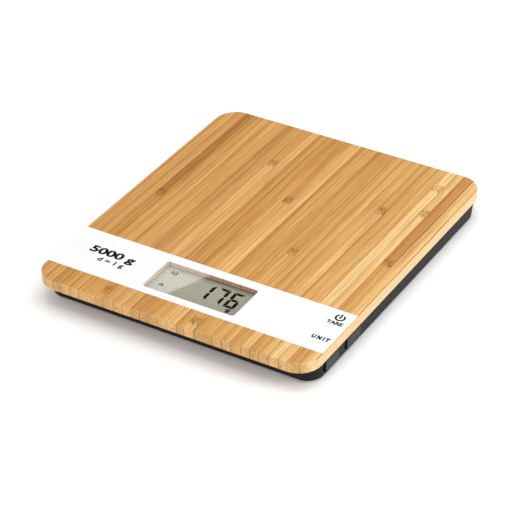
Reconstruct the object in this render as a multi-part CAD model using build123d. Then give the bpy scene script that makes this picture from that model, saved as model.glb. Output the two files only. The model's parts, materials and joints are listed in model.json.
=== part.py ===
from build123d import *
import os
from math import hypot, radians, tan

# Slim kitchen scale: a bamboo platform board on a black plastic tray that stands on four load-cell feet.
# Millimetres. Origin at the middle of the base, +X to the user's right, +Y to the back, +Z up.
# Every node is written in its place in the whole scale.

os.makedirs("parts", exist_ok=True)

# ---- driving dimensions -------------------------------------------------------------------
BOARD_WIDTH = 180.0
BOARD_DEPTH = 210.0
BOARD_THICKNESS = 6.6
BOARD_CORNER_R = 14.0
BOARD_EDGE_EASE = 0.5
TOTAL_HEIGHT = 19.0

TRAY_SIDE_INSET = 1.2
TRAY_FRONT_INSET = 8.7
TRAY_BACK_INSET = 4.6
TRAY_CORNER_R = 11.0
TRAY_WALL = 2.8
TRAY_FLOOR = 1.8
TRAY_SLOPE_HEIGHT = 7.7
TRAY_SLOPE_INSET = 1.0
TRAY_BOTTOM_R = 0.6
GROUND_GAP = 1.2
RIB_HEIGHT = 1.6
RIB_THICKNESS = 1.2
RIB_HALF_SPAN = 84.0

BAND_FRONT_Y = -89.1
BAND_BACK_Y = -50.2
BAND_HALF_WIDTH = 89.4
BAND_THICKNESS = 0.15

WINDOW_X = 0.4
WINDOW_Y = -70.2
WINDOW_SIZE = (59.8, 27.4)
WINDOW_CORNER_R = 2.0
WINDOW_THICKNESS = 1.2
REFLECTOR_SIZE = (58.0, 20.0)
REFLECTOR_THICKNESS = 0.2
HOLDER_OPENING = (56.0, 18.0)
STRIP_HALF_LENGTH = 27.0
STRIP_THICKNESS = 2.0
STRIP_OFFSET = 12.5
STRIP_CLEARANCE = 0.2
LCD_SIZE = (62.0, 30.0)
LCD_THICKNESS = 2.2
LCD_TOP_DROP = 3.3
SEAL_THICKNESS = 0.3
POCKET_CLEARANCE = 0.2

MAIN_BOARD_TOP = 9.2
MAIN_BOARD_THICKNESS = 1.2
MAIN_BOARD_HALF_WIDTH = 37.5
MAIN_BOARD_SPAN = (-86.0, -50.0)
CHIP_DOME_R = 20.0
CHIP_DOME_DROP = 1.4
CHIP_HALF_SIZE = 9.0

BUTTON_BOARD_BOTTOM = 4.6
BUTTON_BOARD_TOP = 5.6
BUTTON_BOARD_X = (74.2, 82.4)
BUTTON_BOARD_SPAN = (-84.4, -45.6)
SWITCH_BACK_X = 78.0
SWITCH_FRONT_X = 81.5
SWITCH_HALF_WIDTH = 3.0
SWITCH_TOP = 10.0
SWITCH_AXIS_Z = 7.8
SWITCH_BORE_R = 1.75
SWITCH_BORE_DEPTH = 1.3
PLUNGER_R = 1.5
PLUNGER_LENGTH = 1.95
PLUNGER_TIP_X = 82.9

FOOT_X = 58.0
FOOT_FRONT_Y = -74.0
FOOT_BACK_Y = 78.0
FOOT_R = 9.0
FOOT_CLEARANCE = 0.4
FOOT_BOTTOM = 0.5
FOOT_SHOULDER = 3.6
FOOT_BRIM_TOP = 4.6
FOOT_BRIM = 1.6
FOOT_STEM_R = 3.0
FOOT_CHAMFER = 0.4
PAD_R = 7.6
PAD_THICKNESS = 1.4
PAD_EDGE_R = 0.3
CELL_SIZE = 26.0
CELL_THICKNESS = 1.2
CELL_BOTTOM = 5.8
CELL_POST_OFFSET = 10.5
CELL_CORNER_R = 2.0
CELL_FRAME_OPENING = 8.0
CELL_TONGUE_HALF_WIDTH = 5.0
CELL_TONGUE_ROOT = 8.5
CELL_HOLE_R = 1.15
CLAMP_THICKNESS = 1.2
CLAMP_OPENING = 8.5
CLAMP_WIRE_GAP = 3.5
GAUGE_THICKNESS = 0.3

BUTTON_SPANS = {"unit": (-84.7, -70.5), "tare": (-61.5, -46.2)}
BUTTON_PROUD = 0.4
BUTTON_TOP_GAP = 1.3
BUTTON_FRONT_GAP = 2.2
BUTTON_BACK_GAP = 0.4
BUTTON_BOTTOM = 3.0
BUTTON_FLANGE_X = (84.4, 85.3)
BUTTON_FLANGE_FRONT_LAP = 3.0
BUTTON_FLANGE_BACK_LAP = 1.2
BUTTON_FLANGE_BOTTOM = 3.6
BUTTON_FLANGE_TOP_GAP = 0.8
BUTTON_TOP_CHAMFER = 0.5
BUTTON_LOWER_R = (3.2, 1.0)
BUTTON_UPPER_R = (1.6, 1.5)
STEM_HALF = 1.5
NOTCH_FRONT_R = 4.5
NOTCH_BACK_R = 1.2
NOTCH_BOTTOM = 2.7

BATTERY_Y = 25.0
COIN_R = 10.0
COIN_THICKNESS = 3.2
DOOR_SIZE = (28.0, 30.0)
DOOR_THICKNESS = 1.6
DOOR_CLEARANCE = 0.3
HINGE_CLEARANCE = 0.1
HINGE_LUGS = (-11.0, 7.0)
LUG_WIDTH = 4.0
LUG_TOP = 4.4
LUG_HOOK_BOTTOM = 3.3
LUG_HOOK_REACH = 2.5
DOOR_RIB_HALF = 0.6
CONTACT_THICKNESS = 0.3
NEGATIVE_TAB_X = (-8.0, -4.0)
POSITIVE_TAB_X = (5.0, 8.0)
POSITIVE_TOP = 7.1
CONTACT_TAIL_Y = 4.0
WELL_WALL = 1.5
WELL_COIN_GAP = 0.2
TAB_SLOT_GAP = 0.3
WELL_Y = (8.0, 44.0)
WELL_CEILING = 8.0
FINGER_SCOOP_R = 6.0

CASE_SCREW_SEAT = 7.5
CASE_SCREW_TIP = 16.6
CASE_SCREW_R = 1.5
CASE_SCREW_HOLE_R = 1.7
CASE_SCREW_BORE_R = 3.1
CASE_BOSS_R = 4.2
SCREW_SKIN = 2.1
BOSS_R = 2.4
SMALL_BOSS_R = 2.0
CELL_SCREW_R = 1.0
CELL_SCREW_TIP = 3.8
MAIN_SCREW_R = 0.9
MAIN_SCREW_TIP = 4.2
MAIN_SCREW_HOLE_R = 1.15
BUTTON_SCREW_R = 0.75
BUTTON_SCREW_TIP = 3.4
BUTTON_SCREW_HOLE_R = 0.95

WIRE_R = 0.45
WIRE_PITCH = 1.3
WIRE_BEND_R = 2.4
STRAIGHT_ENOUGH = 0.5

# A screw's cross slot, as shares of the head's height and radius.
SLOT_DEPTH = 0.6
SLOT_LENGTH = 0.62
SLOT_WIDTH = 0.13

# ---- levels worked out from them ----------------------------------------------------------
BOARD_BOTTOM = TOTAL_HEIGHT - BOARD_THICKNESS
FLOOR_TOP = GROUND_GAP + TRAY_FLOOR
RIB_TOP = FLOOR_TOP + RIB_HEIGHT
SLOPE_TOP = GROUND_GAP + TRAY_SLOPE_HEIGHT
LCD_TOP = TOTAL_HEIGHT - LCD_TOP_DROP
LCD_BOTTOM = LCD_TOP - LCD_THICKNESS
LEDGE = LCD_TOP + SEAL_THICKNESS
HOLDER_TOP = LCD_BOTTOM - REFLECTOR_THICKNESS
MAIN_BOARD_BOTTOM = MAIN_BOARD_TOP - MAIN_BOARD_THICKNESS
CELL_TOP = CELL_BOTTOM + CELL_THICKNESS
CLAMP_TOP = CELL_TOP + CLAMP_THICKNESS
TRAY_RIGHT = BOARD_WIDTH / 2 - TRAY_SIDE_INSET
TRAY_FRONT = -BOARD_DEPTH / 2 + TRAY_FRONT_INSET
TRAY_BACK = BOARD_DEPTH / 2 - TRAY_BACK_INSET
INNER_RIGHT = TRAY_RIGHT - TRAY_WALL
COIN_TOP = 7.6
COIN_BOTTOM = COIN_TOP - COIN_THICKNESS
HINGE_Y = BATTERY_Y + DOOR_SIZE[1] / 2
DOOR_FRONT_Y = BATTERY_Y - DOOR_SIZE[1] / 2
BAND_BOTTOM = TOTAL_HEIGHT - BAND_THICKNESS

FEET = {
    "front_left": (-FOOT_X, FOOT_FRONT_Y),
    "front_right": (FOOT_X, FOOT_FRONT_Y),
    "back_left": (-FOOT_X, FOOT_BACK_Y),
    "back_right": (FOOT_X, FOOT_BACK_Y),
}
CASE_SCREWS = [(x, y) for x in (-79.0, 79.0) for y in (-89.5, 5.0, 93.0)]
CASE_SCREWS += [(0.0, -91.0), (0.0, 93.5)]
MAIN_BOARD_SCREWS = [(x, y) for x in (-34.4, 34.4) for y in (-82.5, -53.5)]
BUTTON_BOARD_SCREWS = [(77.2, y) for y in (-82.0, -65.5, -48.0)]


# ---- small helpers ------------------------------------------------------------------------
def block(x0, x1, y0, y1, z0, z1):
    """A box between two corners."""
    box = Box(x1 - x0, y1 - y0, z1 - z0)
    return Pos((x0 + x1) / 2, (y0 + y1) / 2, (z0 + z1) / 2) * box


def disc(x, y, z0, z1, r):
    """An upright cylinder."""
    return Pos(x, y, (z0 + z1) / 2) * Cylinder(r, z1 - z0)


def slab(x0, x1, y0, y1, z0, z1, r):
    """A flat plate with rounded corners."""
    outline = RectangleRounded(x1 - x0, y1 - y0, r)
    return Pos((x0 + x1) / 2, (y0 + y1) / 2, z0) * extrude(outline, z1 - z0)


def window_slab(size, z0, z1, r, grow=0.0):
    """A rounded plate centred on the display window."""
    half_w = size[0] / 2 + grow
    half_d = size[1] / 2 + grow
    return slab(WINDOW_X - half_w, WINDOW_X + half_w, WINDOW_Y - half_d, WINDOW_Y + half_d, z0, z1, r)


def pan_screw(x, y, seat, tip, shank_r, head_r, head_height):
    """A cross-slotted pan-head screw: the head sits at height seat, and the shank runs to tip."""
    way = 1 if seat > tip else -1
    crown = seat + way * head_height
    screw = disc(x, y, min(seat, crown), max(seat, crown), head_r)
    screw += disc(x, y, min(seat, tip), max(seat, tip), shank_r)
    deep = crown - way * SLOT_DEPTH * head_height
    long = SLOT_LENGTH * head_r
    narrow = SLOT_WIDTH * head_r
    for half_x, half_y in ((long, narrow), (narrow, long)):
        screw -= block(x - half_x, x + half_x, y - half_y, y + half_y, min(deep, crown), max(deep, crown))
    return screw


def tube(points, r, bend_r):
    """A round wire along straight runs joined by tangent arcs."""
    corners = [Vector(*p) for p in points]
    edges = []
    start = corners[0]
    for before, corner, after in zip(corners, corners[1:], corners[2:]):
        into = (corner - before).normalized()
        out = (after - corner).normalized()
        half_turn = into.get_angle(out) / 2
        if half_turn < STRAIGHT_ENOUGH:
            continue
        setback = bend_r * tan(radians(half_turn))
        arc_start = corner - into * setback
        arc_end = corner + out * setback
        edges.append(Edge.make_line(start, arc_start))
        edges.append(Edge.make_tangent_arc(arc_start, into, arc_end))
        start = arc_end
    edges.append(Edge.make_line(start, corners[-1]))
    path = Wire(edges)
    section = Plane(origin=corners[0], z_dir=corners[1] - corners[0]) * Circle(r)
    return sweep(section, path=path)


def beside(points, shift):
    """The same route moved sideways in plan by shift, with its turns kept parallel."""
    ways = []
    for a, b in zip(points, points[1:]):
        run = hypot(b[0] - a[0], b[1] - a[1])
        ways.append(((a[1] - b[1]) / run, (b[0] - a[0]) / run))
    moved = []
    for i, (x, y, z) in enumerate(points):
        first = ways[max(i - 1, 0)]
        second = ways[min(i, len(ways) - 1)]
        reach = shift / (1 + first[0] * second[0] + first[1] * second[1])
        moved.append((x + reach * (first[0] + second[0]), y + reach * (first[1] + second[1]), z))
    return moved


def wire_set(points, count):
    """Several wires lying side by side along one route."""
    shifts = [(i - (count - 1) / 2) * WIRE_PITCH for i in range(count)]
    return Compound([tube(beside(points, shift), WIRE_R, WIRE_BEND_R) for shift in shifts])


# ---- platform and display -----------------------------------------------------------------
def band_block():
    """The printed band's room in the top of the board."""
    return block(-BAND_HALF_WIDTH, BAND_HALF_WIDTH, BAND_FRONT_Y, BAND_BACK_Y, BAND_BOTTOM, TOTAL_HEIGHT)


def make_platform_board():
    half_w = BOARD_WIDTH / 2
    half_d = BOARD_DEPTH / 2
    board = slab(-half_w, half_w, -half_d, half_d, BOARD_BOTTOM, TOTAL_HEIGHT, BOARD_CORNER_R)
    rims = board.faces().sort_by(Axis.Z)[-1].edges() + board.faces().sort_by(Axis.Z)[0].edges()
    board = fillet(rims, BOARD_EDGE_EASE)
    board -= band_block()
    board -= window_slab(WINDOW_SIZE, LEDGE, TOTAL_HEIGHT, WINDOW_CORNER_R)
    board -= window_slab(LCD_SIZE, BOARD_BOTTOM, LEDGE, 1.0, POCKET_CLEARANCE)
    for x, y in CASE_SCREWS:
        board -= disc(x, y, BOARD_BOTTOM, TOTAL_HEIGHT - SCREW_SKIN, CASE_SCREW_R)
    return board


def make_label_band():
    return band_block() - window_slab(WINDOW_SIZE, BAND_BOTTOM, TOTAL_HEIGHT, WINDOW_CORNER_R)


def make_display_window():
    return window_slab(WINDOW_SIZE, TOTAL_HEIGHT - WINDOW_THICKNESS, TOTAL_HEIGHT, WINDOW_CORNER_R)


def make_display_seal():
    seal = window_slab(LCD_SIZE, LCD_TOP, LEDGE, 0.8)
    return seal - window_slab(WINDOW_SIZE, LCD_TOP, LEDGE, WINDOW_CORNER_R)


def make_lcd_panel():
    return window_slab(LCD_SIZE, LCD_BOTTOM, LCD_TOP, 0.4)


def make_lcd_reflector():
    return window_slab(REFLECTOR_SIZE, HOLDER_TOP, LCD_BOTTOM, 0.4)


def strip_block(side, slack):
    """The room of one rubber contact strip, in front of (-1) or behind (1) the reflector."""
    middle = WINDOW_Y + side * STRIP_OFFSET
    half = STRIP_THICKNESS / 2 + slack
    long = STRIP_HALF_LENGTH + slack
    return block(WINDOW_X - long, WINDOW_X + long, middle - half, middle + half, MAIN_BOARD_TOP, LCD_BOTTOM)


def make_lcd_holder():
    holder = window_slab(LCD_SIZE, MAIN_BOARD_TOP, HOLDER_TOP, 0.8, -0.1)
    holder -= window_slab(HOLDER_OPENING, MAIN_BOARD_TOP, HOLDER_TOP, 0.5)
    return holder - strip_block(-1, STRIP_CLEARANCE) - strip_block(1, STRIP_CLEARANCE)


def make_contact_strips():
    return Compound([strip_block(-1, 0), strip_block(1, 0)])


# ---- electronics --------------------------------------------------------------------------
def make_main_board():
    half = MAIN_BOARD_HALF_WIDTH
    board = slab(-half, half, *MAIN_BOARD_SPAN, MAIN_BOARD_BOTTOM, MAIN_BOARD_TOP, 1.0)
    for x, y in MAIN_BOARD_SCREWS:
        board -= disc(x, y, MAIN_BOARD_BOTTOM, MAIN_BOARD_TOP, MAIN_SCREW_HOLE_R)
    return board


def make_controller_chip():
    half = CHIP_HALF_SIZE
    low = MAIN_BOARD_BOTTOM - CHIP_DOME_DROP
    ball = Pos(0, WINDOW_Y, low + CHIP_DOME_R) * Sphere(CHIP_DOME_R)
    return ball & block(-half, half, WINDOW_Y - half, WINDOW_Y + half, low, MAIN_BOARD_BOTTOM)


def make_circuit_parts():
    """Small parts under the main board, each given as x, y, width, depth and height."""
    chips = [(x, y, 2.0, 1.25, 0.9) for x in (-14.0, -10.0, 10.0, 14.0) for y in (-80.0, -60.0)]
    chips += [(20.0, -70.0, 3.0, 8.0, 2.4), (-21.0, -70.0, 4.5, 3.2, 1.4)]
    low = MAIN_BOARD_BOTTOM
    return Compound(
        [block(x - w / 2, x + w / 2, y - d / 2, y + d / 2, low - h, low) for x, y, w, d, h in chips]
    )


def make_main_board_screws():
    seat, tip = MAIN_BOARD_TOP, MAIN_SCREW_TIP
    return Compound([pan_screw(x, y, seat, tip, MAIN_SCREW_R, 1.9, 1.3) for x, y in MAIN_BOARD_SCREWS])


def make_button_board():
    board = slab(*BUTTON_BOARD_X, *BUTTON_BOARD_SPAN, BUTTON_BOARD_BOTTOM, BUTTON_BOARD_TOP, 0.6)
    for x, y in BUTTON_BOARD_SCREWS:
        board -= disc(x, y, BUTTON_BOARD_BOTTOM, BUTTON_BOARD_TOP, BUTTON_SCREW_HOLE_R)
    return board


def make_button_board_screws():
    tip, r = BUTTON_SCREW_TIP, BUTTON_SCREW_R
    return Compound([pan_screw(x, y, BUTTON_BOARD_TOP, tip, r, 1.6, 1.1) for x, y in BUTTON_BOARD_SCREWS])


def side_pin(x_end, y, length, r):
    """A pin along X on the switches' axis, ending at x_end."""
    return Pos(x_end - length / 2, y, SWITCH_AXIS_Z) * Rot(0, 90, 0) * Cylinder(r, length)


def make_switch_body(y):
    half = SWITCH_HALF_WIDTH
    body = block(SWITCH_BACK_X, SWITCH_FRONT_X, y - half, y + half, BUTTON_BOARD_TOP, SWITCH_TOP)
    return body - side_pin(SWITCH_FRONT_X, y, SWITCH_BORE_DEPTH, SWITCH_BORE_R)


def make_switch_plunger(y):
    return side_pin(PLUNGER_TIP_X, y, PLUNGER_LENGTH, PLUNGER_R)


def make_button_ribbon():
    low = BUTTON_BOARD_BOTTOM - WIRE_R
    clear = RIB_TOP + WIRE_R + 0.1
    pads = MAIN_BOARD_BOTTOM - WIRE_R
    route = [(79.0, -71.5, low), (72.9, -71.5, low), (72.9, -56.0, low), (67.0, -51.0, low)]
    route += [(46.0, -54.0, clear), (37.0, -62.0, clear), (29.0, -64.0, pads), (23.0, -64.0, pads)]
    return wire_set(route, 3)


# ---- load cells and feet ------------------------------------------------------------------
def cell_corners(x, y):
    reach = CELL_POST_OFFSET
    return [(x + i * reach, y + j * reach) for i in (-1, 1) for j in (-1, 1)]


def make_load_cell(x, y):
    half = CELL_SIZE / 2
    hole = CELL_FRAME_OPENING
    wide = CELL_TONGUE_HALF_WIDTH
    cell = slab(x - half, x + half, y - half, y + half, CELL_BOTTOM, CELL_TOP, CELL_CORNER_R)
    cell -= slab(x - hole, x + hole, y - hole, y + hole, CELL_BOTTOM, CELL_TOP, 1.0)
    cell += block(x - wide, x + wide, y - CELL_TONGUE_ROOT, y + wide, CELL_BOTTOM, CELL_TOP)
    for px, py in cell_corners(x, y):
        cell -= disc(px, py, CELL_BOTTOM, CELL_TOP, CELL_HOLE_R)
    return cell


def make_load_cell_clamp(x, y):
    half = CELL_SIZE / 2
    inward = -1 if x > 0 else 1
    hole = CLAMP_OPENING
    clamp = slab(x - half, x + half, y - half, y + half, CELL_TOP, CLAMP_TOP, CELL_CORNER_R)
    clamp -= slab(x - hole, x + hole, y - hole, y + hole, CELL_TOP, CLAMP_TOP, 1.0)
    near, far = sorted((x, x + inward * half))
    clamp -= block(near, far, y - CLAMP_WIRE_GAP, y + CLAMP_WIRE_GAP, CELL_TOP, CLAMP_TOP)
    for px, py in cell_corners(x, y):
        clamp -= disc(px, py, CELL_TOP, CLAMP_TOP, CELL_HOLE_R)
    return clamp


def make_strain_gauges():
    top = CELL_TOP + GAUGE_THICKNESS
    return Compound([slab(x - 3, x + 3, y - 4, y + 4, CELL_TOP, top, 1.0) for x, y in FEET.values()])


def make_load_cell_screws():
    screws = [corner for x, y in FEET.values() for corner in cell_corners(x, y)]
    return Compound([pan_screw(x, y, CLAMP_TOP, CELL_SCREW_TIP, CELL_SCREW_R, 1.9, 1.1) for x, y in screws])


def make_foot(x, y):
    foot = disc(x, y, FOOT_BOTTOM, FOOT_SHOULDER, FOOT_R)
    foot = chamfer(foot.faces().sort_by(Axis.Z)[0].edges(), FOOT_CHAMFER)
    foot += disc(x, y, FOOT_SHOULDER, FOOT_BRIM_TOP, FOOT_R + FOOT_BRIM)
    foot += disc(x, y, FOOT_BRIM_TOP, CELL_BOTTOM, FOOT_STEM_R)
    return foot - disc(x, y, FOOT_BOTTOM, PAD_THICKNESS, PAD_R)


def make_foot_pad(x, y):
    pad = disc(x, y, 0.0, PAD_THICKNESS, PAD_R)
    return fillet(pad.faces().sort_by(Axis.Z)[0].edges(), PAD_EDGE_R)


def make_load_cell_wires(name):
    x, y = FEET[name]
    side = 1 if x > 0 else -1
    top = CELL_TOP + GAUGE_THICKNESS + WIRE_R
    low = RIB_TOP + WIRE_R
    pads = MAIN_BOARD_BOTTOM - WIRE_R
    route = [(side * 57.0, y, top), (side * 43.0, y, top), (side * 38.5, y, low)]
    if y < 0:
        route += [(side * 34.0, y, low), (side * 29.0, y, pads), (side * 24.0, y, pads)]
    else:
        route += [(side * 34.0, y - 4.0, low), (side * 26.0, y - 22.0, low), (side * 25.0, -38.0, low)]
        route += [(side * 18.0, -50.0, low), (side * 12.0, -56.0, pads), (side * 8.0, -58.0, pads)]
    return wire_set(route, 3)


# ---- battery ------------------------------------------------------------------------------
def make_battery_door():
    half = DOOR_SIZE[0] / 2 - DOOR_CLEARANCE
    front = DOOR_FRONT_Y + DOOR_CLEARANCE
    back = HINGE_Y - HINGE_CLEARANCE
    top = GROUND_GAP + DOOR_THICKNESS
    door = block(-half, half, front, back, GROUND_GAP, top)
    rib_top = COIN_BOTTOM - DOOR_CLEARANCE
    for x in (-6.0, 0.0, 6.0):
        door += block(x - DOOR_RIB_HALF, x + DOOR_RIB_HALF, BATTERY_Y - 7, BATTERY_Y + 7, top, rib_top)
    for x in HINGE_LUGS:
        door += block(x, x + LUG_WIDTH, back - 2, back, top, LUG_TOP)
        door += block(x, x + LUG_WIDTH, back - 2, back + LUG_HOOK_REACH, LUG_HOOK_BOTTOM, LUG_TOP)
    for groove_y in (front + 2.0, front + 3.6, front + 5.2):
        door -= block(-5, 5, groove_y, groove_y + 0.7, GROUND_GAP, GROUND_GAP + 0.4)
    return door


def make_coin_cell():
    can = disc(0, BATTERY_Y, COIN_BOTTOM, COIN_TOP - 0.4, COIN_R)
    can = fillet(can.faces().sort_by(Axis.Z)[0].edges(), 0.4)
    return can + disc(0, BATTERY_Y, COIN_TOP - 0.4, COIN_TOP, COIN_R - 1.5)


def make_battery_contact_negative():
    top = COIN_TOP + CONTACT_THICKNESS
    leaf = block(-4, 4, BATTERY_Y - 5, BATTERY_Y + 5, COIN_TOP, top)
    return leaf + block(*NEGATIVE_TAB_X, CONTACT_TAIL_Y, BATTERY_Y + 2, COIN_TOP, top)


def make_battery_contact_positive():
    rim = BATTERY_Y - COIN_R
    back = rim - 0.4
    leaf = block(-3, POSITIVE_TAB_X[1], back, rim, COIN_BOTTOM + 0.3, POSITIVE_TOP)
    low = POSITIVE_TOP - CONTACT_THICKNESS
    return leaf + block(*POSITIVE_TAB_X, CONTACT_TAIL_Y, back, low, POSITIVE_TOP)


def make_battery_leads():
    pads = MAIN_BOARD_BOTTOM - WIRE_R
    low = RIB_TOP + WIRE_R
    leads = []
    for x, tab_bottom in ((-6.0, COIN_TOP), (6.5, POSITIVE_TOP - CONTACT_THICKNESS)):
        height = tab_bottom - WIRE_R
        route = [(x, 6.0, height), (x, 0.0, height), (x, -5.0, low), (x * 0.8, -30.0, low)]
        route += [(x * 0.6, -48.0, low), (x * 0.6, -53.0, pads), (x * 0.6, -58.0, pads)]
        leads.append(tube(route, WIRE_R, WIRE_BEND_R))
    return Compound(leads)


# ---- tray and buttons ---------------------------------------------------------------------
def tray_plan(inset, z):
    """The tray's outline, drawn in by inset, at height z."""
    width = 2 * (TRAY_RIGHT - inset)
    depth = TRAY_BACK - TRAY_FRONT - 2 * inset
    return Pos(0, (TRAY_BACK + TRAY_FRONT) / 2, z) * RectangleRounded(width, depth, TRAY_CORNER_R - inset)


def make_tray_shell():
    upper = extrude(tray_plan(0, SLOPE_TOP), BOARD_BOTTOM - SLOPE_TOP)
    lower = loft([tray_plan(TRAY_SLOPE_INSET, GROUND_GAP), tray_plan(0, SLOPE_TOP)])
    shell = upper + lower
    shell = fillet(shell.faces().sort_by(Axis.Z)[0].edges(), TRAY_BOTTOM_R)
    return shell - extrude(tray_plan(TRAY_WALL, FLOOR_TOP), BOARD_BOTTOM - FLOOR_TOP)


def tray_ribs():
    """Low stiffening ribs on the tray's floor."""
    span = RIB_HALF_SPAN
    half = RIB_THICKNESS / 2
    ribs = block(-span, span, -43.6 - half, -43.6 + half, FLOOR_TOP, RIB_TOP)
    ribs += block(-span, span, 52.6 - half, 52.6 + half, FLOOR_TOP, RIB_TOP)
    for x in (-39.0, 39.0):
        ribs += block(x - half, x + half, -92, 96, FLOOR_TOP, RIB_TOP)
    for x0, x1 in ((-span, -18.0), (18.0, span)):
        ribs += block(x0, x1, 5.6 - half, 5.6 + half, FLOOR_TOP, RIB_TOP)
    return ribs


def battery_well():
    """The battery's room over the door, with shoulders beside the cell and slots for its two contacts."""
    half = DOOR_SIZE[0] / 2
    near = COIN_R + WELL_COIN_GAP
    front, back = WELL_Y
    outer_front = front - WELL_WALL
    outer = half + WELL_WALL
    well = block(-outer, outer, outer_front, back + WELL_WALL, FLOOR_TOP, WELL_CEILING + 1)
    well -= block(-half, half, front, back, FLOOR_TOP, WELL_CEILING)
    for x0, x1 in ((-half, -near), (near, half)):
        well += block(x0, x1, BATTERY_Y - 8, BATTERY_Y + 8, COIN_BOTTOM, WELL_CEILING)
    well += block(-5, 5, BATTERY_Y + near, BATTERY_Y + COIN_R + 2, COIN_BOTTOM, WELL_CEILING)
    for tab, low, high in ((NEGATIVE_TAB_X, 6.9, WELL_CEILING), (POSITIVE_TAB_X, 6.1, 7.5)):
        well -= block(tab[0] - TAB_SLOT_GAP, tab[1] + TAB_SLOT_GAP, outer_front, front, low, high)
    return well


def lower_x_edges(shape):
    """The shape's lowest edges along X, from front to back."""
    return shape.edges().filter_by(Axis.X).group_by(Axis.Z)[0].sort_by(Axis.Y)


def button_notch(front, back):
    """The cut in the tray's right wall that a button's cap stands in."""
    y0 = front - BUTTON_FRONT_GAP
    y1 = back + BUTTON_BACK_GAP
    notch = block(INNER_RIGHT - 0.5, BOARD_WIDTH / 2, y0, y1, NOTCH_BOTTOM, BOARD_BOTTOM)
    notch = fillet(lower_x_edges(notch)[0], NOTCH_FRONT_R)
    return fillet(lower_x_edges(notch)[-1], NOTCH_BACK_R)


def make_tray():
    tray = make_tray_shell() + tray_ribs() + battery_well()
    half = DOOR_SIZE[0] / 2
    tray -= block(-half, half, DOOR_FRONT_Y, HINGE_Y, GROUND_GAP, FLOOR_TOP)
    tray -= disc(0, DOOR_FRONT_Y, GROUND_GAP, GROUND_GAP + 0.8, FINGER_SCOOP_R)
    for x, y in FEET.values():
        tray -= disc(x, y, GROUND_GAP, FLOOR_TOP, FOOT_R + FOOT_CLEARANCE)
        for px, py in cell_corners(x, y):
            tray += disc(px, py, FLOOR_TOP, CELL_BOTTOM, BOSS_R)
            tray -= disc(px, py, CELL_SCREW_TIP, CELL_BOTTOM, CELL_SCREW_R)
    for x, y in CASE_SCREWS:
        tray += disc(x, y, FLOOR_TOP, BOARD_BOTTOM, CASE_BOSS_R)
        tray -= disc(x, y, GROUND_GAP, CASE_SCREW_SEAT, CASE_SCREW_BORE_R)
        tray -= disc(x, y, CASE_SCREW_SEAT, BOARD_BOTTOM, CASE_SCREW_HOLE_R)
    for x, y in MAIN_BOARD_SCREWS:
        tray += disc(x, y, FLOOR_TOP, MAIN_BOARD_BOTTOM, BOSS_R)
        tray -= disc(x, y, MAIN_SCREW_TIP, MAIN_BOARD_BOTTOM, MAIN_SCREW_R)
    for x, y in BUTTON_BOARD_SCREWS:
        tray += disc(x, y, FLOOR_TOP, BUTTON_BOARD_BOTTOM, SMALL_BOSS_R)
        tray -= disc(x, y, BUTTON_SCREW_TIP, BUTTON_BOARD_BOTTOM, BUTTON_SCREW_R)
    for front, back in BUTTON_SPANS.values():
        tray -= button_notch(front, back)
    return tray


def make_button(front, back):
    """A cap in the notch, with a retaining flange behind the wall and a stem to its switch."""
    top = BOARD_BOTTOM - BUTTON_TOP_GAP
    face = TRAY_RIGHT + BUTTON_PROUD
    slope = TRAY_SLOPE_INSET / TRAY_SLOPE_HEIGHT
    inner, outer = BUTTON_FLANGE_X
    foot_x = face - slope * (SLOPE_TOP - BUTTON_BOTTOM)
    corners = [(outer, BUTTON_BOTTOM), (foot_x, BUTTON_BOTTOM), (face, SLOPE_TOP), (face, top), (outer, top)]
    profile = Plane.XZ * make_face(Polyline(*corners, close=True))
    middle = (front + back) / 2
    cap = Pos(0, middle, 0) * extrude(profile, (back - front) / 2, both=True)
    for level, corner_rs in ((0, BUTTON_LOWER_R), (-1, BUTTON_UPPER_R)):
        for end, corner_r in ((0, corner_rs[0]), (-1, corner_rs[1])):
            ends = cap.edges().filter_by(Axis.X).group_by(Axis.Z)[level].sort_by(Axis.Y)
            cap = fillet(ends[end], corner_r)
    top_edges = cap.edges().filter_by(Axis.Y).group_by(Axis.Z)[-1].sort_by(Axis.X)
    cap = chamfer(top_edges[-1], BUTTON_TOP_CHAMFER)
    flange_front = front - BUTTON_FLANGE_FRONT_LAP
    flange_back = back + BUTTON_FLANGE_BACK_LAP
    flange_top = BOARD_BOTTOM - BUTTON_FLANGE_TOP_GAP
    cap += block(inner, outer, flange_front, flange_back, BUTTON_FLANGE_BOTTOM, flange_top)
    stem_low = SWITCH_AXIS_Z - STEM_HALF
    stem_high = SWITCH_AXIS_Z + STEM_HALF
    return cap + block(PLUNGER_TIP_X, inner, middle - STEM_HALF, middle + STEM_HALF, stem_low, stem_high)


def make_case_screws():
    seat, tip = CASE_SCREW_SEAT, CASE_SCREW_TIP
    return Compound([pan_screw(x, y, seat, tip, CASE_SCREW_R, 2.8, 1.9) for x, y in CASE_SCREWS])


# ---- write every node ---------------------------------------------------------------------
nodes = {
    "platform_board": make_platform_board(),
    "label_band": make_label_band(),
    "display_window": make_display_window(),
    "display_seal": make_display_seal(),
    "lcd_panel": make_lcd_panel(),
    "lcd_reflector": make_lcd_reflector(),
    "lcd_holder": make_lcd_holder(),
    "lcd_contact_strips": make_contact_strips(),
    "main_board": make_main_board(),
    "controller_chip": make_controller_chip(),
    "circuit_parts": make_circuit_parts(),
    "main_board_screws": make_main_board_screws(),
    "button_board": make_button_board(),
    "button_board_screws": make_button_board_screws(),
    "button_ribbon": make_button_ribbon(),
    "tray": make_tray(),
    "case_screws": make_case_screws(),
    "strain_gauges": make_strain_gauges(),
    "load_cell_screws": make_load_cell_screws(),
    "battery_door": make_battery_door(),
    "coin_cell": make_coin_cell(),
    "battery_contact_negative": make_battery_contact_negative(),
    "battery_contact_positive": make_battery_contact_positive(),
    "battery_leads": make_battery_leads(),
}
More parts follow.
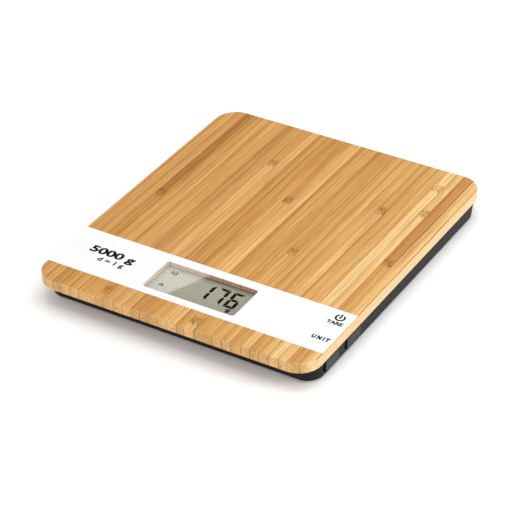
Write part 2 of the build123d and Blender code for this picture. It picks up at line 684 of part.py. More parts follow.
for corner, (foot_x, foot_y) in FEET.items():
    nodes[f"foot_{corner}"] = make_foot(foot_x, foot_y)
    nodes[f"foot_pad_{corner}"] = make_foot_pad(foot_x, foot_y)
    nodes[f"load_cell_{corner}"] = make_load_cell(foot_x, foot_y)
    nodes[f"load_cell_clamp_{corner}"] = make_load_cell_clamp(foot_x, foot_y)
    nodes[f"load_cell_wires_{corner}"] = make_load_cell_wires(corner)
for button, (span_front, span_back) in BUTTON_SPANS.items():
    middle_y = (span_front + span_back) / 2
    nodes[f"{button}_button"] = make_button(span_front, span_back)
    nodes[f"{button}_switch_body"] = make_switch_body(middle_y)
    nodes[f"{button}_switch_plunger"] = make_switch_plunger(middle_y)

for name, shape in nodes.items():
    export_step(shape, f"parts/{name}.step")
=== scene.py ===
import json
import math

import bmesh
import bpy
from mathutils import Matrix, Vector


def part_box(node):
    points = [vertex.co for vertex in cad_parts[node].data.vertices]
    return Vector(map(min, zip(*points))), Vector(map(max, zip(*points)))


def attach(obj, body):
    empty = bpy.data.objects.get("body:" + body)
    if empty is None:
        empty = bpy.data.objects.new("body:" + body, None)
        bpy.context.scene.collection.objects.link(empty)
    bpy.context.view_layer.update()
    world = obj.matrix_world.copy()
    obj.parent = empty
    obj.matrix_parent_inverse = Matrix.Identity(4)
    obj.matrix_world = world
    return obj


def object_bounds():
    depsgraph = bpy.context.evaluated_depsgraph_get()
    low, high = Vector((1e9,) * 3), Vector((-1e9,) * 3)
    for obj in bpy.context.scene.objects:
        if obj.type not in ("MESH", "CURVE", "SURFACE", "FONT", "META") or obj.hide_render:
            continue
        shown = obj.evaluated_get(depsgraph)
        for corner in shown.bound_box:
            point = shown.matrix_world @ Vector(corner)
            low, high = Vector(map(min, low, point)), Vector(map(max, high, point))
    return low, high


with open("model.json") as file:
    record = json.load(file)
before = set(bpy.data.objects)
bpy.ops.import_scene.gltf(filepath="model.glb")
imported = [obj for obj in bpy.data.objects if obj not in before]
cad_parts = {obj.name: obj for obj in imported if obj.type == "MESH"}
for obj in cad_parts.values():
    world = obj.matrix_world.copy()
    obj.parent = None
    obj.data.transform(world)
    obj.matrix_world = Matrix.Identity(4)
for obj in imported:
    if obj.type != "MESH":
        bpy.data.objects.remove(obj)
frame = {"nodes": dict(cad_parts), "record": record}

# A slim kitchen scale: bamboo platform, white printed band with a display, black tray with side buttons.
# Lengths are metres unless a name says millimetres. Places come from the frame's own boxes.

MM = 0.001
CAD_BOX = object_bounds()
BODY = "body"

# ---- driving sizes of what is added to the frame ------------------------------------------
STRIP_WIDTH_MM = 5.88
FIRST_STRIP_MM = 92.5
# Painted light: how much paler the board's wood is painted for each millimetre toward +X, where light falls
# stronger.
PAINTED_LIGHT_PER_MM = 0.0024
PRINT_LIFT = 0.015 * MM
FIGURE_HEIGHT = 14.6 * MM
FIGURE_WIDTH = 7.1 * MM
FIGURE_PITCH = 9.35 * MM
FIGURE_STROKE = 2.0 * MM
FIGURE_GAP = 0.14 * MM
READING = "176"
READING_RIGHT = 24.4 * MM
READING_RAISE = 10.3 * MM
LENS_MM = 151.0
SENSOR_MM = 36.0
VIEW_DISTANCE = 1.237
VIEW_AZIMUTH = math.radians(32.04)
VIEW_ELEVATION = math.radians(34.40)
VIEW_ROLL = math.radians(-1.51)
VIEW_SHIFT_MM = (-0.3, -10.9, -3.9)
# Knuckles in the bamboo: the strip's number from the left, how far back it is (mm), and the strip's paleness.
KNUCKLES = [
    (3, 2.0, -0.05),
    (8, -97.0, 0.08),
    (10, 62.0, 0.05),
    (15, 31.0, -0.1),
    (18, -97.5, -0.08),
    (20, -14.0, 0.1),
    (24, 48.0, 0.0),
    (27, 85.0, 0.3),
    (28, 57.0, 0.05),
    (29, 2.0, -0.42),
]
KNUCKLE_REACH_MM = (1.6, 5.5)
KNUCKLE_STEP = 0.12
# The band's words, in mm: piece name, words, left end, base line, height, width, and how bold they are.
PRINTED_WORDS = [
    ("capacity_words", "5000 g", -75.4, -69.4, 6.0, 30.0, 0.04),
    ("step_words", "d = 1 g", -66.0, -75.6, 3.6, 17.5, 0.035),
    ("tare_words", "TARE", 76.4, -63.2, 2.8, 9.8, 0.05),
    ("unit_words", "U N I T", 76.2, -79.0, 3.1, 10.8, 0.075),
]
# Centres (mm) of the power mark and the three small marks on the display.
POWER_MARK_MM = (81.8, -56.5)
UNIT_MARK_MM = (22.4, -76.9)
UPPER_MARK_MM = (-22.8, -61.2)
LOWER_MARK_MM = (-23.1, -73.9)
FLOOR_SIDE = 14.0
SKY_STRENGTH = 0.68
# Area lights, all aimed at the origin: name, place, size, power and colour.
LIGHTS = [
    ("key_light", (0.45, 0.15, 3.5), (2.7, 2.7), 48.0, (1.0, 1.0, 1.0)),
    ("side_light", (1.1, 0.35, 0.42), (0.8, 0.5), 7.6, (1.0, 1.0, 1.0)),
    ("front_light", (-0.3, -2.2, 0.6), (2.0, 0.7), 22.0, (0.90, 0.95, 1.0)),
]
# Where the card's corners are mirrored on the cover's plane (mm), and how many eye distances away they are.
CARD_CORNERS = [(-1.2, -57.0, 2.2), (-13.0, -84.0, 2.2), (-60.0, -84.0, 2.2), (-60.0, -50.0, 2.2)]
CARD_GLOW = 3.6


# ---- shader writing -----------------------------------------------------------------------
class Value:
    """One output of a shader node. Arithmetic on it adds Math nodes to the same tree."""

    def __init__(self, shade, socket):
        self.shade = shade
        self.socket = socket

    def out(self, name):
        """Another output of the same node."""
        return Value(self.shade, self.socket.node.outputs[name])

    def maths(self, operation, *others):
        return self.shade.maths(operation, self, *others)

    def __add__(self, other):
        return self.maths("ADD", other)

    __radd__ = __add__

    def __sub__(self, other):
        return self.maths("SUBTRACT", other)

    def __rsub__(self, other):
        return self.shade.maths("SUBTRACT", other, self)

    def __mul__(self, other):
        return self.maths("MULTIPLY", other)

    __rmul__ = __mul__

    def __truediv__(self, other):
        return self.maths("DIVIDE", other)

    def __abs__(self):
        return self.maths("ABSOLUTE")


class Shade:
    """A material while its nodes are being written."""

    def __init__(self, name):
        self.material = bpy.data.materials.new(name)
        self.material.use_nodes = True
        self.nodes = self.material.node_tree.nodes
        self.links = self.material.node_tree.links
        self.nodes.clear()

    def node(self, kind, settings=None, inputs=None, output=0):
        """Adds a node with its settings, then its sockets' values or links, and returns one output."""
        made = self.nodes.new(kind)
        for key, value in (settings or {}).items():
            if key == "stops":
                self.stops(made.color_ramp.elements, value)
            else:
                setattr(made, key, value)
        for key, value in (inputs or {}).items():
            if isinstance(value, Value):
                self.links.new(value.socket, made.inputs[key])
            else:
                made.inputs[key].default_value = value
        return Value(self, made.outputs[output])

    def stops(self, elements, wanted):
        """Gives a colour ramp its stops."""
        for _ in wanted[2:]:
            elements.new(0.5)
        for element, (position, colour) in zip(elements, wanted):
            element.position = position
            element.color = colour

    def maths(self, operation, *values):
        return self.node("ShaderNodeMath", {"operation": operation}, dict(enumerate(values)))

    def place(self):
        """The point being shaded, in millimetres of the shared frame, as three values."""
        spot = self.node("ShaderNodeTexCoord", output="Object")
        grown = self.node("ShaderNodeVectorMath", {"operation": "SCALE"}, {0: spot, "Scale": 1 / MM})
        parts = self.node("ShaderNodeSeparateXYZ", inputs={0: grown})
        return parts.out("X"), parts.out("Y"), parts.out("Z")

    def facing(self):
        """How far the surface faces along X and along Y, as two values from 0 to 1."""
        normal = self.node("ShaderNodeTexCoord", output="Normal")
        parts = self.node("ShaderNodeSeparateXYZ", inputs={0: normal})
        return abs(parts.out("X")), abs(parts.out("Y"))

    def vector(self, x, y, z=0.0):
        return self.node("ShaderNodeCombineXYZ", inputs={0: x, 1: y, 2: z})

    def noise(self, vector, scale=1.0, detail=2.0, roughness=0.5):
        sockets = {"Vector": vector, "Scale": scale, "Detail": detail, "Roughness": roughness}
        return self.node("ShaderNodeTexNoise", inputs=sockets)

    def chance(self, number):
        """An even random value from 0 to 1 for each whole number."""
        return self.node("ShaderNodeTexWhiteNoise", {"noise_dimensions": "1D"}, {"W": number})

    def smooth(self, value, low, high, start=0.0, end=1.0):
        """A soft step from start to end as value goes from low to high."""
        sockets = {0: value, 1: low, 2: high, 3: start, 4: end}
        return self.node("ShaderNodeMapRange", {"interpolation_type": "SMOOTHSTEP"}, sockets)

    def mix(self, amount, first, second, blend="MIX"):
        sockets = {0: amount, 6: first, 7: second}
        return self.node("ShaderNodeMix", {"data_type": "RGBA", "blend_type": blend}, sockets, 2)

    def tint(self, colour, factor):
        """A colour made darker or lighter by a value."""
        return self.mix(1.0, colour, self.vector(factor, factor, factor), "MULTIPLY")

    def deepen(self, colour, factor):
        """A wood colour made darker and redder, or paler, by a value."""
        scaled = self.vector(factor, factor.maths("POWER", 1.35), factor.maths("POWER", 1.8))
        return self.mix(1.0, colour, scaled, "MULTIPLY")

    def bump(self, height, distance, strength=1.0):
        sockets = {"Height": height, "Distance": distance, "Strength": strength}
        return self.node("ShaderNodeBump", inputs=sockets)

    def surface(self, **sockets):
        """A Principled surface on the output. Socket names are given with underscores."""
        named = {key.replace("_", " "): value for key, value in sockets.items()}
        return self.finish(self.node("ShaderNodeBsdfPrincipled", inputs=named))

    def finish(self, shader):
        output = self.nodes.new("ShaderNodeOutputMaterial")
        self.links.new(shader.socket, output.inputs["Surface"])
        return self.material


def rgb(red, green, blue):
    return (red, green, blue, 1.0)


# ---- finishes -----------------------------------------------------------------------------
def bamboo_grain(shade):
    """The board's strips: values for the tone, fibres, joints and knuckles at the shaded point."""
    x, y, z = shade.place()
    drift = shade.noise(shade.vector(x * 0.11, 3.0), detail=1.0) * 0.6 - 0.12
    across = (x + FIRST_STRIP_MM) / STRIP_WIDTH_MM + drift
    strip = across.maths("FLOOR")
    inside = across - strip
    tone = shade.chance(strip + 0.5)
    skin_side = shade.chance(strip + 71.5).maths("ROUND")
    skin = abs(inside - skin_side)

    knuckle = 0.0
    shift = 0.0
    for number, along, paleness in KNUCKLES:
        same = shade.smooth(abs(strip - number), 0.2, 0.4, 1.0, 0.0)
        past = y - along
        knuckle = shade.smooth(abs(past), *KNUCKLE_REACH_MM, 1.0, 0.0) * same + knuckle
        before, after = paleness + KNUCKLE_STEP, paleness - KNUCKLE_STEP
        shift = shade.smooth(past, -2.0, 2.0, before, after) * same + shift

    sway = shade.noise(shade.vector(strip * 3.7, y * 0.018), detail=1.0) * 0.9
    swirl = shade.noise(shade.vector(x * 0.5, y * 0.45, z * 0.5), detail=2.0) * knuckle * 4.0
    along_x = x + strip * 13.7 + sway + swirl
    broad = shade.noise(shade.vector(along_x * 0.75, y * 0.006, z * 0.75), detail=2.0)
    fine = shade.noise(shade.vector(along_x * 1.05, y * 0.016, z * 1.05), detail=4.0, roughness=0.82)
    thread = shade.noise(shade.vector(along_x * 1.0, y * 0.009 + 40.0, z * 1.0), detail=3.0, roughness=0.75)
    cells = shade.node(
        "ShaderNodeTexVoronoi",
        {"voronoi_dimensions": "2D", "feature": "F1"},
        {"Vector": shade.vector(along_x * 1.25, z * 1.25 + y * 0.0035), "Scale": 1.0, "Randomness": 0.85},
    )
    bundle_r = 0.16 + skin * 0.26
    bundles = shade.smooth(cells - bundle_r, -0.1, 0.12, 1.0, 0.0)

    edge = inside.maths("MINIMUM", 1.0 - inside) * STRIP_WIDTH_MM
    joint_number = (across + 0.5).maths("FLOOR")
    joint = shade.smooth(edge, 0.06, 0.36, 1.0, 0.0) * (0.35 + shade.chance(joint_number + 5.5) * 0.65)

    fleck = shade.noise(shade.vector(x * 1.5, y * 0.8, z * 1.5), detail=2.0, roughness=0.6)
    dashes = shade.smooth(fleck, 0.45, 0.58) * knuckle
    return {
        "x": x,
        "y": y,
        "z": z,
        "tone": tone,
        "skin": skin,
        "broad": broad,
        "fine": fine,
        "thread": shade.smooth(thread, 0.56, 0.68),
        "bundles": bundles,
        "joint": joint,
        "knuckle": knuckle,
        "dashes": dashes,
        "inside": inside,
        "shift": shift,
        "strip": strip,
    }


def inside_box(shade, grain, node):
    """1 within a node's sides seen from above, 0 outside them."""
    low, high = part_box(node)
    centre = (low + high) / 2 / MM
    reach = (high - low) / 2 / MM
    in_x = shade.smooth(abs(grain["x"] - centre.x), reach.x + 0.02, reach.x + 0.06, 1.0, 0.0)
    in_y = shade.smooth(abs(grain["y"] - centre.y), reach.y + 0.02, reach.y + 0.06, 1.0, 0.0)
    return in_x * in_y


def bamboo():
    """Laminated bamboo: honey strips on top, paler end grain and cream flanks, with painted light growing
    toward +X and painted shade on the display recess walls.
    """
    shade = Shade("bamboo")
    grain = bamboo_grain(shade)
    face_x, face_y = shade.facing()
    low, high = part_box("label_band")
    band_middle = (low.y + high.y) / 2 / MM
    band_half = (high.y - low.y) / 2 / MM
    ends = shade.smooth(face_y, 0.45, 0.85)
    flank = shade.smooth(face_x, 0.7, 0.95)

    tone_and_painted_light = grain["tone"] * 0.36 + grain["broad"] * 0.6 + grain["inside"] * 0.15 - 0.04 + grain["shift"]
    # Painted light: the grain's tone is made paler toward +X, where light falls stronger.
    tone_and_painted_light = tone_and_painted_light + grain["x"] * PAINTED_LIGHT_PER_MM
    stops = [
        (0.0, rgb(0.38, 0.150, 0.028)),
        (0.34, rgb(0.53, 0.250, 0.058)),
        (0.62, rgb(0.63, 0.335, 0.096)),
        (1.0, rgb(0.78, 0.500, 0.205)),
    ]
    honey = shade.node("ShaderNodeValToRGB", {"stops": stops}, {0: tone_and_painted_light})
    end_tone = shade.mix(grain["tone"], rgb(0.49, 0.26, 0.080), rgb(0.60, 0.355, 0.130))
    cream = shade.mix(grain["broad"], rgb(0.60, 0.42, 0.195), rgb(0.70, 0.53, 0.285))
    colour = shade.mix(ends, honey, end_tone)
    colour = shade.mix(flank, colour, cream)

    fibres = grain["bundles"] * (0.06 + grain["skin"] * 0.12 + ends * 0.1) * (1.0 - flank * 0.8)
    fibres = fibres + grain["thread"] * 0.18 * (1.0 - flank)
    streaks = (grain["fine"] - 0.47) * (1.5 - flank * 1.1)
    lines = grain["joint"] * (0.36 + ends * 0.24) * (1.0 - flank)
    marks = grain["dashes"] * 0.5
    shadowing = (1.0 + streaks - fibres) * (1.0 - lines) * (1.0 - marks) * (1.0 - grain["knuckle"] * 0.06)
    colour = shade.deepen(colour, shadowing)
    rosy = shade.chance(grain["strip"] + 31.5) * 0.2 * (1.0 - ends) * (1.0 - flank)
    colour = shade.mix(rosy, colour, rgb(0.66, 0.34, 0.130))
    # Painted shade: inside the display window's outline the recess walls are painted a darker reddish brown,
    # joints kept, for the shade in the recess.
    recess = inside_box(shade, grain, "display_window")
    painted_recess_shade = shade.deepen(rgb(0.53, 0.335, 0.225), 1.0 - grain["joint"] * 0.6)
    colour = shade.mix(recess * 0.7, colour, painted_recess_shade)
    edge_print = shade.smooth(grain["z"], 18.5, 18.6) * shade.smooth(grain["x"], -89.2, -89.3)
    edge_print = edge_print * shade.smooth(abs(grain["y"] - band_middle), band_half, band_half - 0.1)
    colour = shade.mix(edge_print, colour, rgb(0.82, 0.82, 0.815))

    height = 0.0 - grain["bundles"] * 0.25 - grain["joint"] * 0.9 + grain["fine"] * 0.35
    return shade.surface(
        Base_Color=colour,
        Roughness=0.40 + grain["fine"] * 0.14,
        Specular_IOR_Level=0.32,
        Normal=shade.bump(height, 0.06 * MM, 0.8),
    )


def printed_white():
    """Satin white print that lets the grain under it show a little."""
    shade = Shade("white_print")
    grain = bamboo_grain(shade)
    cloud = shade.noise(shade.vector(grain["x"] * 0.05, grain["y"] * 0.05), detail=2.0)
    colour = shade.mix(cloud, rgb(0.83, 0.83, 0.825), rgb(0.87, 0.87, 0.87))
    height = grain["fine"] * 0.4 - grain["joint"] * 0.5
    return shade.surface(
        Base_Color=colour,
        Roughness=0.34 + cloud * 0.08,
        Specular_IOR_Level=0.4,
        Normal=shade.bump(height, 0.015 * MM, 0.5),
    )


MOTTLING = 0.12


def moulded(name, colour, roughness, grain_mm=0.35, depth_mm=0.02, specular=0.5):
    """Moulded plastic with a fine sparked texture."""
    shade = Shade(name)
    x, y, z = shade.place()
    spark = shade.noise(shade.vector(x, y, z), scale=1.0 / grain_mm, detail=3.0, roughness=0.6)
    cloud = shade.noise(shade.vector(x, y, z), scale=0.04, detail=2.0)
    tinted = shade.tint(colour, 1.0 - MOTTLING + cloud * MOTTLING * 1.2 + spark * MOTTLING * 0.8)
    return shade.surface(
        Base_Color=tinted,
        Roughness=roughness - 0.06 + spark * 0.12,
        Specular_IOR_Level=specular,
        Normal=shade.bump(spark, depth_mm * MM, 0.6),
    )


def metal(name, colour, roughness):
    """Drawn or stamped metal with fine lines one way."""
    shade = Shade(name)
    x, y, z = shade.place()
    lines = shade.noise(shade.vector(x * 0.4, y * 9.0, z * 9.0), detail=3.0)
    return shade.surface(
        Base_Color=shade.tint(colour, 0.86 + lines * 0.28),
        Metallic=1.0,
        Roughness=roughness + (lines - 0.5) * 0.2,
        Normal=shade.bump(lines, 0.004 * MM, 0.4),
    )


def clear_acrylic():
    """A clear cover: what isn't mirrored at its faces passes straight through."""
    shade = Shade("clear_acrylic")
    through = shade.node("ShaderNodeBsdfTransparent", inputs={"Color": rgb(0.985, 0.985, 0.98)})
    mirror = shade.node("ShaderNodeBsdfGlossy", inputs={"Color": rgb(1.0, 1.0, 1.0), "Roughness": 0.02})
    outside = 1.0 - shade.node("ShaderNodeNewGeometry", output="Backfacing")
    rate = shade.node("ShaderNodeFresnel", inputs={"IOR": 1.49}) * outside
    return shade.finish(shade.node("ShaderNodeMixShader", inputs={0: rate, 1: through, 2: mirror}))


def lcd_face():
    """The grey-green face of the display cell, with painted shade along its back and left edges where the
    recess walls shade it.
    """
    shade = Shade("lcd_face")
    x, y, z = shade.place()
    pearl = shade.noise(shade.vector(x, y, z), scale=6.0, detail=2.0)
    cloud = shade.noise(shade.vector(x, y, z), scale=0.05, detail=1.0)
    colour = shade.mix(cloud, rgb(0.40, 0.39, 0.305), rgb(0.43, 0.415, 0.33))
    low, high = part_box("display_window")
    # Painted shade: the face is darkened within 5 mm of the window's back edge and 4 mm of its left edge, for
    # the recess walls' shade.
    back_wall_shade = shade.smooth(high.y / MM - y, 0.0, 5.0, 0.70, 1.0)
    left_wall_shade = shade.smooth(x - low.x / MM, 0.0, 4.0, 0.75, 1.0)
    return shade.surface(
        Base_Color=shade.tint(colour, (0.97 + pearl * 0.06) * back_wall_shade * left_wall_shade),
        Roughness=0.30 + pearl * 0.08,
        Specular_IOR_Level=0.3,
    )


def ink(name, colour):
    """Printed ink or a darkened display segment, a little uneven."""
    shade = Shade(name)
    x, y, z = shade.place()
    cloud = shade.noise(shade.vector(x, y, z), scale=1.4, detail=2.0)
    return shade.surface(
        Base_Color=shade.tint(colour, 0.8 + cloud * 0.4),
        Roughness=0.5 + cloud * 0.1,
        Specular_IOR_Level=0.1,
    )


def circuit_green():
    """Solder mask with copper tracks showing faintly through it."""
    shade = Shade("circuit_green")
    x, y, z = shade.place()
    runs = shade.node(
        "ShaderNodeTexVoronoi",
        {"voronoi_dimensions": "2D", "feature": "F1", "distance": "CHEBYCHEV"},
        {"Vector": shade.vector(x * 0.32, y * 0.32), "Scale": 1.0, "Randomness": 0.7},
    )
    rings = shade.smooth(abs((runs * 7.0).maths("FRACT") - 0.5), 0.12, 0.2)
    grain = shade.noise(shade.vector(x, y, z), scale=3.0, detail=2.0)
    colour = shade.mix(rings, rgb(0.020, 0.115, 0.045), rgb(0.045, 0.20, 0.075))
    return shade.surface(
        Base_Color=colour,
        Roughness=0.28 + grain * 0.12,
        Normal=shade.bump(rings, 0.03 * MM, 0.5),
    )


def floor_white():
    """A matt pale studio floor with the least unevenness."""
    shade = Shade("studio_floor")
    x, y, _ = shade.place()
    cloud = shade.noise(shade.vector(x * 0.004, y * 0.004), detail=2.0)
    colour = shade.mix(cloud, rgb(0.965, 0.965, 0.965), rgb(0.98, 0.98, 0.98))
    return shade.surface(Base_Color=colour, Roughness=0.9, Specular_IOR_Level=0.0)


def card_glow():
    """A studio card that glows evenly."""
    shade = Shade("studio_card")
    sockets = {"Color": rgb(1.0, 1.0, 1.0), "Strength": CARD_GLOW}
    return shade.finish(shade.node("ShaderNodeEmission", inputs=sockets))


# ---- mesh helpers -------------------------------------------------------------------------
def mesh_object(name, mesh, material, body=BODY):
    """A mesh in the scene with its material, riding on a body if one is given."""
    made = bpy.data.objects.new(name, mesh)
    bpy.context.scene.collection.objects.link(made)
    mesh.materials.clear()
    mesh.materials.append(material)
    if body:
        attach(made, body)
    return made


def flat_mesh(name, outlines, level):
    """Flat faces, facing up, one for each outline of (x, y) points."""
    work = bmesh.new()
    for outline in outlines:
        face = work.faces.new([work.verts.new((px, py, level)) for px, py in outline])
        face.normal_update()
        if face.normal.z < 0:
            face.normal_flip()
    mesh = bpy.data.meshes.new(name)
    work.to_mesh(mesh)
    work.free()
    return mesh


def print_words(name, words, left, base, height, width, weight, material):
    """Flat lettering that stands on base and starts at left, stretched to its height and width."""
    curve = bpy.data.curves.new(name, "FONT")
    curve.body = words
    curve.offset = weight
    source = bpy.data.objects.new(name, curve)
    bpy.context.scene.collection.objects.link(source)
    bpy.context.view_layer.update()
    mesh = bpy.data.meshes.new_from_object(source.evaluated_get(bpy.context.evaluated_depsgraph_get()))
    bpy.data.objects.remove(source)
    bpy.data.curves.remove(curve)
    xs = [v.co.x for v in mesh.vertices]
    ys = [v.co.y for v in mesh.vertices]
    tall = max(ys) - max(min(ys), 0.0)
    scale_y = height / tall
    scale_x = width / (max(xs) - min(xs))
    level = CAD_BOX[1].z + PRINT_LIFT
    for vertex in mesh.vertices:
        vertex.co = (left + (vertex.co.x - min(xs)) * scale_x, base + vertex.co.y * scale_y, level)
    return mesh_object(name, mesh, material)


def ring(centre_x, centre_y, radius, stroke, start, end, steps=28):
    """The outline of part of a ring, as quads; angles are in degrees."""
    quads = []
    inner, outer = radius - stroke / 2, radius + stroke / 2
    spots = [math.radians(start + (end - start) * i / steps) for i in range(steps + 1)]
    for a, b in zip(spots, spots[1:]):
        points = [(inner, a), (outer, a), (outer, b), (inner, b)]
        quads.append([(centre_x + r * math.cos(t), centre_y + r * math.sin(t)) for r, t in points])
    return quads


def bar(left, base, width, height):
    """The outline of an upright rectangle."""
    return [(left, base), (left + width, base), (left + width, base + height), (left, base + height)]


def print_band(black):
    """What is printed on the white band: the capacity, the button words and the power mark."""
    level = CAD_BOX[1].z + PRINT_LIFT
    for name, words, left, base, height, width, weight in PRINTED_WORDS:
        print_words(name, words, left * MM, base * MM, height * MM, width * MM, weight, black)
    x, y = (place * MM for place in POWER_MARK_MM)
    marks = ring(x, y, 2.55 * MM, 1.15 * MM, 125, 415)
    marks.append(bar(x - 0.55 * MM, y - 0.9 * MM, 1.1 * MM, 4.1 * MM))
    mesh_object("power_mark", flat_mesh("power_mark", marks, level), black)


# ---- the display --------------------------------------------------------------------------
LIT = {"1": "bc", "6": "acdefg", "7": "abc"}


def segment(kind, left, base):
    """One bar of a seven-segment figure, with mitred ends."""
    w, h, t, gap = FIGURE_WIDTH, FIGURE_HEIGHT, FIGURE_STROKE, FIGURE_GAP
    level = {"a": h, "g": h / 2, "d": 0.0}
    if kind in level:
        y0 = base + level[kind]
        lean = {"a": -t, "d": t, "g": 0.0}[kind]
        if kind == "g":
            half = t / 2
            return [
                (left + half + gap, y0),
                (left + t + gap, y0 - half),
                (left + w - t - gap, y0 - half),
                (left + w - half - gap, y0),
                (left + w - t - gap, y0 + half),
                (left + t + gap, y0 + half),
            ]
        return [
            (left + gap, y0),
            (left + w - gap, y0),
            (left + w - t - gap, y0 + lean),
            (left + t + gap, y0 + lean),
        ]
    low = base + (h / 2 if kind in "bf" else 0.0)
    high = low + h / 2
    outer = left + (w if kind in "bc" else 0.0)
    inner = outer - (t if kind in "bc" else -t)
    middle = (outer + inner) / 2
    if kind in "bf":
        return [
            (outer, low + gap + t / 2),
            (outer, high - gap),
            (inner, high - gap - t),
            (inner, low + gap + t / 2),
            (middle, low + gap),
        ]
    return [
        (outer, low + gap),
        (outer, high - gap - t / 2),
        (middle, high - gap),
        (inner, high - gap - t / 2),
        (inner, low + gap + t),
    ]


def lcd_figures(dark):
    """The reading, its unit mark and the two marks at the display's left."""
    low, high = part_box("lcd_panel")
    level = high.z + PRINT_LIFT
    base = low.y + READING_RAISE
    last = len(READING) - 1
    for place, figure in enumerate(READING):
        left = READING_RIGHT - FIGURE_WIDTH - (last - place) * FIGURE_PITCH
        bars = [segment(kind, left, base) for kind in LIT[figure]]
        mesh_object(f"lcd_figure_{place}", flat_mesh("lcd_figure", bars, level), dark)
    x, y = (place * MM for place in UNIT_MARK_MM)
    marks = ring(x, y, 0.85 * MM, 0.95 * MM, 0, 360, 20)
    marks += ring(x, y - 1.2 * MM, 0.85 * MM, 0.85 * MM, 190, 360, 12)
    marks.append(bar(x + 0.45 * MM, y - 1.2 * MM, 0.85 * MM, 2.3 * MM))
    mesh_object("lcd_unit_mark", flat_mesh("lcd_unit_mark", marks, level), dark)
    x, y = (place * MM for place in UPPER_MARK_MM)
    faint = [bar(x - 1.8 * MM, y - 1.5 * MM, 1.2 * MM, 3.0 * MM)]
    faint += ring(x + 0.9 * MM, y - 0.5 * MM, 0.95 * MM, 0.9 * MM, 0, 360, 20)
    faint.append(bar(x + 1.1 * MM, y - 1.5 * MM, 1.1 * MM, 3.2 * MM))
    x, y = (place * MM for place in LOWER_MARK_MM)
    faint.append([(x - 1.5 * MM, y - 0.3 * MM), (x + 1.5 * MM, y - 0.3 * MM), (x, y + 1.5 * MM)])
    faint.append(bar(x - 1.8 * MM, y - 1.3 * MM, 3.6 * MM, 1.0 * MM))
    mesh_object("lcd_faint_marks", flat_mesh("lcd_faint_marks", faint, level), dark)


# ---- build --------------------------------------------------------------------------------
def finish_nodes():
    """Gives every node of the frame its finish, by the record's material slot."""
    black = rgb(0.010, 0.010, 0.0095)
    button_black = rgb(0.020, 0.0195, 0.019)
    finishes = {
        "bamboo": bamboo(),
        "white_band": printed_white(),
        "clear_window": clear_acrylic(),
        "lcd_glass": lcd_face(),
        "reflector_foil": metal("reflector_foil", rgb(0.72, 0.73, 0.66), 0.35),
        "foam": moulded("foam", rgb(0.03, 0.03, 0.03), 0.85, 0.5, 0.08),
        "contact_rubber": moulded("contact_rubber", rgb(0.12, 0.12, 0.13), 0.7),
        "holder_plastic": moulded("holder_plastic", rgb(0.72, 0.72, 0.70), 0.5),
        "circuit_board": circuit_green(),
        "chip_epoxy": moulded("chip_epoxy", rgb(0.012, 0.012, 0.013), 0.22, 2.0, 0.05),
        "ceramic_parts": moulded("ceramic_parts", rgb(0.32, 0.22, 0.14), 0.4),
        "screw_steel": metal("screw_steel", rgb(0.60, 0.60, 0.62), 0.32),
        "wire_cover": moulded("wire_cover", rgb(0.45, 0.03, 0.025), 0.42, 1.2, 0.01),
        "black_plastic": moulded("black_plastic", black, 0.5, 0.3, 0.03, specular=0.14),
        "button_plastic": moulded("button_plastic", button_black, 0.40, 0.25, 0.015, specular=0.2),
        "switch_plastic": moulded("switch_plastic", rgb(0.02, 0.02, 0.022), 0.5),
        "cell_steel": metal("cell_steel", rgb(0.52, 0.53, 0.55), 0.36),
        "gauge_sealant": moulded("gauge_sealant", rgb(0.80, 0.80, 0.78), 0.45, 1.5, 0.1),
        "clamp_plastic": moulded("clamp_plastic", rgb(0.62, 0.62, 0.60), 0.5),
        "foot_rubber": moulded("foot_rubber", rgb(0.055, 0.055, 0.058), 0.8, 0.5, 0.05),
        "coin_steel": metal("coin_steel", rgb(0.66, 0.67, 0.68), 0.28),
        "contact_brass": metal("contact_brass", rgb(0.72, 0.56, 0.26), 0.3),
    }
    for entry in frame["record"]["subparts"]:
        for place in frame["nodes"][entry["node"]].material_slots:
            place.material = finishes[entry["material_slot"]]


def direction(azimuth, elevation):
    """The way the camera looks: azimuth 0 looks along +Y, and it looks down by elevation."""
    flat = math.cos(elevation)
    return Vector((-math.sin(azimuth) * flat, math.cos(azimuth) * flat, -math.sin(elevation)))


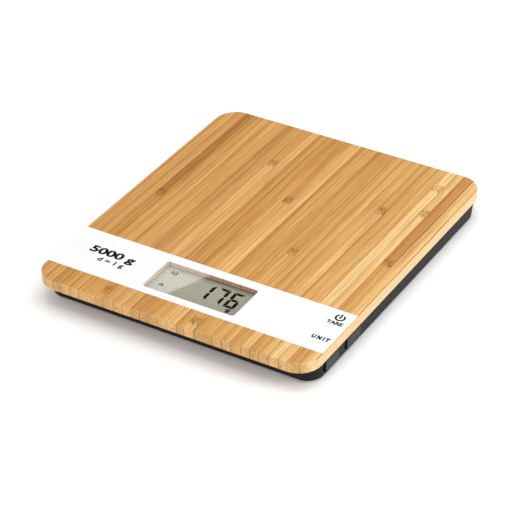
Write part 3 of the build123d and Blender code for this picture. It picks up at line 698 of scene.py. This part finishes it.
def make_camera():
    """The camera, turned by its roll about the way it looks."""
    forward = direction(VIEW_AZIMUTH, VIEW_ELEVATION)
    level_right = Vector((math.cos(VIEW_AZIMUTH), math.sin(VIEW_AZIMUTH), 0.0))
    level_up = level_right.cross(forward)
    right = level_right * math.cos(VIEW_ROLL) + level_up * math.sin(VIEW_ROLL)
    up = level_up * math.cos(VIEW_ROLL) - level_right * math.sin(VIEW_ROLL)
    centre = (CAD_BOX[0] + CAD_BOX[1]) / 2
    target = centre + Vector(VIEW_SHIFT_MM) * MM
    data = bpy.data.cameras.new("camera")
    data.lens = LENS_MM
    data.sensor_width = SENSOR_MM
    data.clip_start = 0.05
    data.clip_end = 60.0
    camera = bpy.data.objects.new("camera", data)
    bpy.context.scene.collection.objects.link(camera)
    turn = Matrix((right, up, -forward)).transposed().to_4x4()
    camera.matrix_world = Matrix.Translation(target - forward * VIEW_DISTANCE) @ turn
    bpy.context.scene.camera = camera


def soft_light(name, place, size, power, colour):
    """A rectangular area light aimed at the origin."""
    data = bpy.data.lights.new(name, "AREA")
    data.shape = "RECTANGLE"
    data.size, data.size_y = size
    data.energy = power
    data.color = colour
    light = bpy.data.objects.new(name, data)
    bpy.context.scene.collection.objects.link(light)
    light.location = place
    light.rotation_mode = "QUATERNION"
    light.rotation_quaternion = (-Vector(place)).to_track_quat("-Z", "Y")


def window_card():
    """A bright card behind the scale. Its right edge is what the display cover mirrors as a slanting line."""
    eye = bpy.context.scene.camera.matrix_world.translation
    top = CAD_BOX[1].z
    mirrored = Vector((eye.x, eye.y, 2 * top - eye.z))
    corners = []
    for across, along, reach in CARD_CORNERS:
        on_cover = Vector((across * MM, along * MM, top))
        corners.append(mirrored + (on_cover - mirrored) * reach)
    work = bmesh.new()
    work.faces.new([work.verts.new(corner) for corner in corners])
    mesh = bpy.data.meshes.new("window_card")
    work.to_mesh(mesh)
    work.free()
    card = mesh_object("window_card", mesh, card_glow(), body=None)
    card.visible_diffuse = False
    card.visible_shadow = False


def make_stage():
    """Pale floor, even sky and soft lights."""
    world = bpy.data.worlds.new("studio")
    bpy.context.scene.world = world
    world.use_nodes = True
    back = world.node_tree.nodes["Background"]
    back.inputs["Color"].default_value = rgb(1.0, 1.0, 1.0)
    back.inputs["Strength"].default_value = SKY_STRENGTH
    world.cycles_visibility.glossy = False
    half = FLOOR_SIDE / 2
    outline = [(-half, -half), (half, -half), (half, half), (-half, half)]
    floor = mesh_object("studio_floor", flat_mesh("studio_floor", [outline], 0.0), floor_white(), body=None)
    for name, place, size, power, colour in LIGHTS:
        soft_light(name, place, size, power, colour)
    window_card()
    bpy.context.scene.view_settings.view_transform = "Standard"


make_camera()
finish_nodes()
print_band(ink("print_ink", rgb(0.012, 0.012, 0.013)))
lcd_figures(ink("lcd_dark", rgb(0.006, 0.006, 0.005)))
make_stage()
